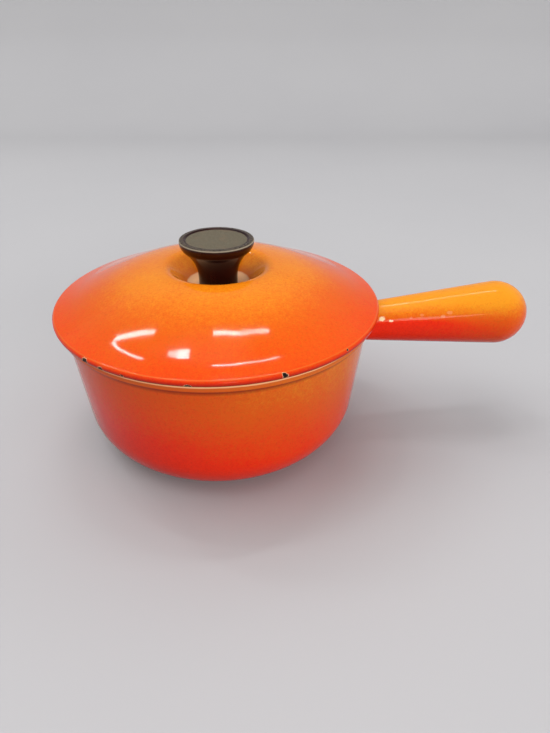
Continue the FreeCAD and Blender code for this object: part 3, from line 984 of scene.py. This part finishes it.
@dataclass(frozen=True)
class Lid:
    """Domed lid with a dimple for the knob and a locating flange."""
    height: float
    edge_r: float
    wall: float = 0.0036
    edge_round: float = 0.0021
    brim_slope: float = math.radians(18.5)
    brim_start_r: float = 0.0904
    brim_hollow: float = 0.0750
    flank_slope: float = math.radians(24.5)
    shoulder_round: float = 0.4000
    crown_start_r: float = 0.0640
    crown_round: float = 0.1075
    lip_round: float = 0.0075
    lip_r: float = 0.0329
    dimple_depth: float = 0.01250
    seat_round: float = 0.0070
    seat_r: float = 0.0140
    screw_hole_r: float = 0.0034
    bare_r: float = 0.0184
    flange_setback: float = 0.0099
    flange_depth: float = 0.0036
    flange_width: float = 0.0034
    flange_edge_round: float = 0.0012
    flange_root_round: float = 0.0030
    chip_depth: float = 0.00035
    columns: int = 470
    chips: tuple[Chip, ...] = ()

    @property
    def flange_r(self) -> float:
        """Outside of the flange."""
        return self.edge_r - self.flange_setback

    @property
    def edge(self) -> Bow:
        """The round along the edge."""
        centre = np.array([self.edge_r - self.edge_round, self.height + self.edge_round])
        return Bow(centre, self.edge_round)

    @property
    def hollow(self) -> Bow:
        """The hollow round, tangent to the straight brim at its start."""
        touch = self.edge.centre + Bow.toward(self.brim_slope) * self.edge_round
        run = touch[0] - self.brim_start_r
        start = touch + np.array([-run, run * math.tan(self.brim_slope)])
        return Bow(start, 0.0).onward(self.brim_slope, -self.brim_hollow)

    @property
    def shoulder(self) -> Bow:
        """The long arc that takes over at the steepest slope."""
        return self.hollow.onward(self.flank_slope, self.shoulder_round)

    @property
    def joint_slope(self) -> float:
        """Slope where the shoulder hands over to the crown."""
        return self.shoulder.slope_at(self.crown_start_r)

    @property
    def crown(self) -> Bow:
        """The crown's arc."""
        return self.shoulder.onward(self.joint_slope, self.crown_round)

    @property
    def lip_slope(self) -> float:
        """Slope where the crown hands over to the lip of the dimple."""
        return self.crown.slope_at(self.lip_r, self.lip_round)

    @property
    def lip(self) -> Bow:
        """The round over the dimple's lip."""
        return self.crown.onward(self.lip_slope, self.lip_round)

    @property
    def seat_z(self) -> float:
        """Height of the flat at the bottom of the dimple."""
        return float(self.lip.centre[1]) + self.lip_round - self.dimple_depth

    def dome(self, start: float, inset: float) -> list[Array]:
        """Runs from slope start on the shoulder in to the screw hole, drawn in by inset."""
        seat = Bow(np.array([self.seat_r, self.seat_z + self.seat_round]), -self.seat_round)
        across = self.lip.centre - seat.centre
        turn = math.asin((self.lip_round + self.seat_round) / float(np.linalg.norm(across)))
        side = math.atan2(across[1], across[0]) + turn
        return [
            self.shoulder.run(start, self.joint_slope, inset),
            self.crown.run(self.joint_slope, self.lip_slope, inset),
            self.lip.run(self.lip_slope, -side, inset, 0.001),
            seat.run(-side, 0.0, inset, 0.001),
            np.array([[self.screw_hole_r, self.seat_z - inset]]),
        ]

    def top(self) -> Array:
        """Profile from the underside just inside the edge, over the lid, to the screw hole."""
        edge = self.edge.run(math.pi, self.brim_slope, pitch=0.00026)
        hollow = self.hollow.run(self.brim_slope, self.flank_slope, pitch=0.0015)
        brim = edge[-1] + (hollow[0] - edge[-1]) * np.linspace(0, 1, 22)[:, None] ** 1.3
        land = straight(np.array([self.flange_r, self.height]), edge[0])
        return chain(land, edge, brim, hollow, *self.dome(self.flank_slope, 0.0))

    def under(self) -> Array:
        """Profile from the screw hole down the inside to the flange and its corner.

        The root fillet of radius q touches the flange's face r = f and the under-arc of
        radius S from inside: its centre is (f - q, c + sqrt((S - q) ** 2 - (f - q - a) ** 2))
        for an arc centred on (a, c).
        """
        f, q = self.flange_r - self.flange_width, self.flange_root_round
        slope = self.shoulder.slope_at(f - q, self.wall + q)
        root = Bow(self.shoulder.centre, self.shoulder_round - self.wall).onward(slope, q)
        low = self.height - self.flange_depth
        flange = rounded([
            (f, float(root.centre[1]), 0.0),
            (f, low, self.flange_edge_round),
            (self.flange_r, low, self.flange_edge_round),
            (self.flange_r, self.height, 0.0),
        ])
        dome = [run[::-1] for run in self.dome(slope, self.wall)][::-1]
        return chain(*dome, root.run(slope, math.pi / 2, pitch=0.0006), flange)

    def tone(self, grid: Array) -> Array:
        """Tone: orange over the crown, redder on the brim and deep low on the edge, partly the flame's
        own dark edge and partly painted shade where the edge faces down into the gap.
        """
        crown = 1 - rise(off_axis(grid), 0.040, 0.100)
        # Low on the edge: the flame's darker edge and painted shade together.
        edge = rise(grid[..., 2] - self.height, 0.0016, 0.0048)
        return 0.4 + 0.19 * edge + 0.3 * crown

    def painted_shade(self, grid: Array) -> Array:
        """Painted shade, darkest low on the edge, where it hangs over the bead."""
        return 0.6 * (1 - rise(grid[..., 2] - self.height, 0.0006, 0.0034))

    def lining(self, grid: Array, base: float) -> Array:
        """Millimetres past the lining's edge: base, but raised along the edge's crest to paint a
        highlight line, and pale at the seat.
        """
        lift = grid[..., 2] - self.height
        # Painted highlight: a pale line along the crest of the edge round.
        painted_crest_highlight = 7.8 * rise(lift, 0.0034, 0.0038) * (1 - rise(lift, 0.0040, 0.0044))
        pale = (self.bare_r - off_axis(grid)) * 600
        return np.maximum(base + painted_crest_highlight, np.minimum(pale, 4.6))

    def patches(self) -> list[Patch]:
        """The lid's two grids and the bore between them."""
        angles = bearings(self.columns, self.chips)
        top, under = self.top(), self.under()
        bore = np.array([top[-1], under[0]])
        found = []
        for profile, lined in ((top, UNLINED), (bore, UNLINED), (under, LINED)):
            grid, chip = chipped(lathe(profile, angles), self.chips, self.edge.centre, self.chip_depth)
            marks = {"tone": self.tone(grid), "painted_shade": self.painted_shade(grid), "chip": chip,
                     "lining": self.lining(grid, lined)}
            found.append(Patch(grid, marks))
        return found

    def build(self, enamel: Material) -> Piece:
        """Make the lid and give it its enamel."""
        made = solid("lid_casting", self.patches(), enamel)
        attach(made, "lid")
        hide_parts("lid")
        return made


# ---- Knob

@dataclass(frozen=True)
class Knob:
    """Flared knob with a dished top and a socket for its threaded insert."""
    low: float
    radius: float
    height: float
    stem_r: float = 0.0117
    rim_height: float = 0.0046
    flare: float = math.radians(50.0)
    rim_round: float = 0.0070
    top_round: float = 0.0011
    land: float = 0.0020
    dish: float = 0.0007
    foot_round: float = 0.0006
    socket_r: float = 0.00473
    socket_depth: float = 0.0134
    # Where the painted shadow ring at the dish's step fades in and out.
    step_shadow_in: Pair = (0.0176, 0.0181)
    step_shadow_out: Pair = (0.0187, 0.0192)
    land_rise: Pair = (0.0181, 0.0190)
    worn_depth: Pair = (0.0014, 0.0005)
    # How wide the painted highlight along the rim's edge is.
    edge_highlight_width: Pair = (0.0006, 0.0001)
    columns: int = 180

    def profile(self) -> Array:
        """Profile from the top of the socket, out round the foot and over the rim."""
        top = self.low + self.height
        rim_low = top - self.rim_height
        spread_out = self.radius - self.stem_r
        waist = rim_low - spread_out / math.tan(self.flare)
        run = spread_out / math.sin(self.flare) - self.rim_round * math.tan(self.flare / 2)
        land = self.radius - self.top_round - self.land
        return rounded([
            (0.0, self.low + self.socket_depth, 0.0),
            (self.socket_r, self.low + self.socket_depth, 0.0),
            (self.socket_r, self.low, 0.0),
            (self.stem_r, self.low, self.foot_round),
            (self.stem_r, waist, run / math.tan(self.flare / 2)),
            (self.radius, rim_low, self.rim_round),
            (self.radius, top, self.top_round),
            (land, top, self.dish / 2),
            (land - self.dish, top - self.dish, self.dish / 2),
            (0.0, top - self.dish, 0.0),
        ], pitch=0.0012)

    def wear_and_painted_light(self, grid: Array) -> Array:
        """How faded: 1 on the top and less on the land, with a painted shadow ring at the dish's step and
        a painted highlight of 1.8 along the rim's edge.
        """
        r, drop = off_axis(grid), self.low + self.height - grid[..., 2]
        # Painted shadow: a darker ring at the dish's step.
        painted_step_shadow = rise(r, *self.step_shadow_in) * (1 - rise(r, *self.step_shadow_out))
        land = rise(r, *self.land_rise)
        # Painted highlight along the rim's edge.
        painted_edge_highlight = rise(self.radius - r, *self.edge_highlight_width)
        return rise(drop, *self.worn_depth) * (1 - 0.7 * painted_step_shadow - 0.55 * land + 1.1 * painted_edge_highlight)

    def build(self, phenolic: Material) -> Piece:
        """Make the knob and give it its finish."""
        grid = lathe(self.profile(), np.linspace(0, TURN, self.columns + 1))
        made = solid("grip_knob", [Patch(grid, {"wear_and_painted_light": self.wear_and_painted_light(grid)})], phenolic)
        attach(made, "lid")
        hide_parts("knob")
        return made


# ---- Fixings

@dataclass(frozen=True)
class Fixings:
    """The knob's screw, washers and insert, which keep their CAD solids."""
    steel: Material
    brass: Material

    def dress(self) -> None:
        """Give each fixing its metal."""
        metals = {"knob_screw": self.steel, "screw_washer": self.steel,
                  "lock_washer": self.steel, "knob_insert": self.brass}
        for node, metal in metals.items():
            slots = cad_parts[node].material_slots
            for one in slots:
                one.material = metal
            log.info("%s: %d slots dressed", node, len(slots))


# ---- Studio

class Seen(Enum):
    """Whether a lamp shows in glossy surfaces."""
    IN_GLOSS = True
    DIFFUSE_ONLY = False


def heading(bearing: float, elevation: float) -> Vector:
    """Unit vector at a bearing from +X and an elevation, both in degrees."""
    b, e = math.radians(bearing), math.radians(elevation)
    return Vector((math.cos(b) * math.cos(e), math.sin(b) * math.cos(e), math.sin(e)))


def area_lamp(name: str, size: Sequence[float], radiance: float, tint: Triple, where: Matrix) -> Piece:
    """Hang a rectangular lamp that the camera doesn't see.

    Args:
        name: its name.
        size: its two sides.
        radiance: how bright each part of it looks.
        tint: its colour.
        where: its place; it shines along its own -Z.

    Returns:
        The lamp's object.
    """
    lamp = bpy.data.lights.new(name, "AREA")
    lamp.shape = "RECTANGLE"
    lamp.size, lamp.size_y = size
    lamp.energy = radiance * 4 * lamp.size * lamp.size_y
    lamp.color = tint
    made = bpy.data.objects.new(name, lamp)
    made.matrix_world = where
    made.visible_camera = False
    bpy.context.collection.objects.link(made)
    return made


@dataclass(frozen=True)
class TubeLamp:
    """A lamp whose middle line runs between two directions as seen from the target.

    The directions are (bearing, elevation) and the thickness an angle, all in degrees.
    """
    name: str
    start: Pair
    end: Pair
    thickness: float
    radiance: float
    tint: Triple = (1.0, 1.0, 1.0)
    distance: float = 10.0
    seen: Seen = Seen.IN_GLOSS

    def build(self, target: Vector) -> None:
        """Hang the lamp, facing the target."""
        first = target + heading(*self.start) * self.distance
        last = target + heading(*self.end) * self.distance
        middle = (first + last) / 2
        along = (last - first).normalized()
        back = (middle - target).normalized()
        back = (back - along * back.dot(along)).normalized()
        axes = Matrix((along, back.cross(along), back)).transposed().to_4x4()
        width = 2 * self.distance * math.tan(math.radians(self.thickness) / 2)
        size = (last - first).length, width
        made = area_lamp(self.name, size, self.radiance, self.tint, Matrix.Translation(middle) @ axes)
        made.visible_glossy = self.seen.value


@dataclass(frozen=True)
class Studio:
    """Plain floor, soft light and the camera."""
    camera_place: Triple = (0.01038, -0.31263, 0.23127)
    camera_heading: float = math.radians(4.5)
    camera_dip: float = math.radians(31.81)
    camera_roll: float = math.radians(0.64)
    film: float = 36.0
    lens: float = 36 * 550 / 733
    target: Triple = (0.0, 0.0, 0.09)
    floor_half: float = 3.0
    floor_back: float = 1.1
    floor_sweep: float = 0.6
    floor_top: float = 1.3
    floor_colour: Colour = paint(178, 178, 182)
    floor_cloud: Colour = paint(184, 184, 187)
    floor_bounce: Colour = paint(52, 50, 50)
    backdrop: Colour = paint(188, 188, 191)
    sky: float = 0.4
    warm_white: Triple = (1.0, 0.98, 0.95)
    panels: int = 4
    panel_low: Pair = (-2.5, -1.9)
    panel_high: Pair = (0.6, 1.0)
    panel_trim: float = 0.14
    panel_height: float = 3.1
    panel_gap: float = 0.01
    panel_radiance: float = 0.17

    def floor(self) -> None:
        """A pale floor that the pan stands on, swept up behind it."""
        half, back, sweep = self.floor_half, self.floor_back, self.floor_sweep
        bend = Bow(np.array([back, sweep]), -sweep).run(0.0, -math.pi / 2, pitch=0.03)
        side = np.concatenate([[[-half, 0.0]], bend, [[back + sweep, self.floor_top]]])
        grid = np.array([[(x, y, z) for x in (half, -half)] for y, z in side])
        graph = Graph.painted("floor_paint")
        clouds = graph.mix(graph.noise(3.0, 3.0), self.floor_colour, self.floor_cloud)
        colour = graph.mix(graph.seen(), self.floor_bounce, clouds)
        matt = graph.finish(Base_Color=colour, Roughness=0.9, Specular_IOR_Level=0.1)
        made = solid("floor", [Patch(grid, {})], matt)

    def world(self) -> None:
        """Even light from all round, and a pale backdrop in the picture and in mirrors."""
        world = bpy.data.worlds.new("room")
        world.use_nodes = True
        graph = Graph(world.node_tree)
        sky, backdrop = (
            graph.node("ShaderNodeBackground", inputs={"Color": colour, "Strength": strength})
            for colour, strength in ((paint(255, 255, 255), self.sky), (self.backdrop, 1.0)))
        room = graph.node("ShaderNodeMixShader", inputs={0: graph.seen(), 1: sky, 2: backdrop})
        graph.node("ShaderNodeOutputWorld", inputs={"Surface": room}, output=None)
        bpy.context.scene.world = world

    def lamps(self) -> None:
        """Broad lamps that only soften the light, and the ceiling lights that the enamel mirrors."""
        soft = self.warm_white, 12.0, Seen.DIFFUSE_ONLY
        lamps = [
            TubeLamp("key", (10, 34), (60, 34), 26, 0.84, *soft),
            TubeLamp("front", (-100, 11), (-22, 11), 20, 3.2, *soft),
            TubeLamp("back", (70, 32), (190, 32), 30, 1.05, *soft),
            TubeLamp("top", (-120, 74), (115, 50), 50, 0.46, *soft),
            TubeLamp("pane", (-88, 24), (-80, 17), 9, 4.5),
            TubeLamp("tube_left", (135.9, 57.6), (141.2, 45.0), 1.15, 31),
            TubeLamp("tube_mid", (101.0, 73.0), (71.5, 72.2), 1.0, 42),
            TubeLamp("tube_right", (71.5, 72.2), (51.2, 64.2), 1.0, 25),
            TubeLamp("spot_tail", (142.0, 67.0), (137.0, 70.6), 0.7, 31),
            TubeLamp("spot", (138.4, 70.1), (133.0, 73.4), 1.4, 45),
        ]
        for lamp in lamps:
            lamp.build(Vector(self.target))

    def ceiling(self) -> None:
        """Level panels overhead, each a little smaller and higher, so that their edge is soft."""
        for step in range(self.panels):
            trim = Vector((self.panel_trim, self.panel_trim)) * step
            low, high = Vector(self.panel_low) + trim, Vector(self.panel_high) - trim
            height = self.panel_height + self.panel_gap * step
            where = Matrix.Translation((*(low + high) / 2, height))
            area_lamp(f"ceiling_{step}", high - low, self.panel_radiance, self.warm_white, where)

    def camera(self) -> None:
        """The camera: rolled about its view, dipped from the level and turned from +Y towards +X."""
        view = bpy.data.cameras.new("camera")
        view.sensor_fit = "AUTO"
        view.sensor_width = self.film
        view.lens = self.lens
        view.clip_start = 0.01
        made = bpy.data.objects.new("camera", view)
        turn = Matrix.Rotation(-self.camera_heading, 4, "Z")
        dip = Matrix.Rotation(math.pi / 2 - self.camera_dip, 4, "X")
        roll = Matrix.Rotation(self.camera_roll, 4, "Z")
        made.matrix_world = Matrix.Translation(self.camera_place) @ turn @ dip @ roll
        bpy.context.collection.objects.link(made)
        bpy.context.scene.camera = made

    def build(self) -> None:
        """Set the whole stage."""
        bpy.context.scene.view_settings.view_transform = "Standard"
        self.floor()
        self.world()
        self.lamps()
        self.ceiling()
        self.camera()


# ---- This pan

LID_CHIPS = (
    Chip(-132.8, 0.09737, 0.0877, 0.0017, 0.0021, 0.6),
    Chip(-125.7, 0.09723, 0.0875, 0.0014, 0.0014, 2.2),
    Chip(-70.3, 0.09741, 0.0885, 0.0017, 0.0013, 4.0),
    Chip(-98.1, 0.09725, 0.0873, 0.0016, 0.0009, 1.2),
    Chip(-117.8, 0.09742, 0.0878, 0.0009, 0.0006, 3.1),
    Chip(-46.4, 0.09726, 0.0893, 0.0008, 0.0006, 5.0),
)
RIM_CHIPS = (
    Chip(-98.4, 0.09735, 0.0846, 0.0016, 0.0009, 2.6),
    Chip(-121.0, 0.09735, 0.0850, 0.0009, 0.0005, 0.9),
)

HANDLE_SPECKS_AND_HIGHLIGHTS = (
    Speck((0.1007, -0.0113, 0.0762), 0.0014, 1.3),
    Speck((0.1062, -0.0125, 0.0753), 0.0007, 1.9, 0.9),
    # The four faint ones below are a painted highlight: a broken pale line along the colour boundary.
    Speck((0.1185, -0.0131, 0.0774), 0.0007, 1.5, 0.12),
    Speck((0.1252, -0.0131, 0.0791), 0.0009, 1.2, 0.12),
    Speck((0.1380, -0.0149, 0.0790), 0.0009, 1.6, 0.14),
    Speck((0.1422, -0.0143, 0.0810), 0.0011, 1.5, 0.14),
)


def main() -> None:
    """Build the pieces in order, dress the fixings and set the stage."""
    logging.basicConfig(level=logging.INFO, format="%(name)s: %(message)s")
    low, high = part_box("saucepan_body")
    lid_low, lid_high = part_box("lid")
    knob_low, knob_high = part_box("knob")
    lid = Lid(height=lid_low.z + Lid.flange_depth, edge_r=lid_high.x, chips=LID_CHIPS)
    bowl = Bowl(height=lid.height, rim_r=-low.x, chips=RIM_CHIPS)
    pan = Pan(bowl, Handle(bowl))
    knob = Knob(low=knob_low.z, radius=knob_high.x, height=knob_high.z - knob_low.z)
    lid_enamel = FlameEnamel(red=paint(226, 42, 2), orange=paint(219, 92, 7))
    pan_enamel = FlameEnamel(red=paint(240, 42, 2), specks_and_highlights=HANDLE_SPECKS_AND_HIGHLIGHTS)
    pieces = [
        pan.build(pan_enamel.material("pan_flame_enamel")),
        lid.build(lid_enamel.material("lid_flame_enamel")),
        knob.build(Phenolic().material("knob_moulding")),
    ]
    steel = TurnedMetal(paint(196, 196, 192), paint(138, 132, 120), 0.3).material("plated_steel")
    brass = TurnedMetal(paint(206, 172, 104), paint(148, 112, 62), 0.32).material("turned_brass")
    Fixings(steel, brass).dress()
    for piece in pieces:
        count = sum(len(face.vertices) - 2 for face in piece.data.polygons)
        log.info("%s: %d triangles", piece.name, count)
    log.info("lid seat at %.5f, knob foot at %.5f, handle end to %.5f", lid.seat_z, knob_low.z, high.x)
    Studio().build()


if __name__ == "__main__":
    main()
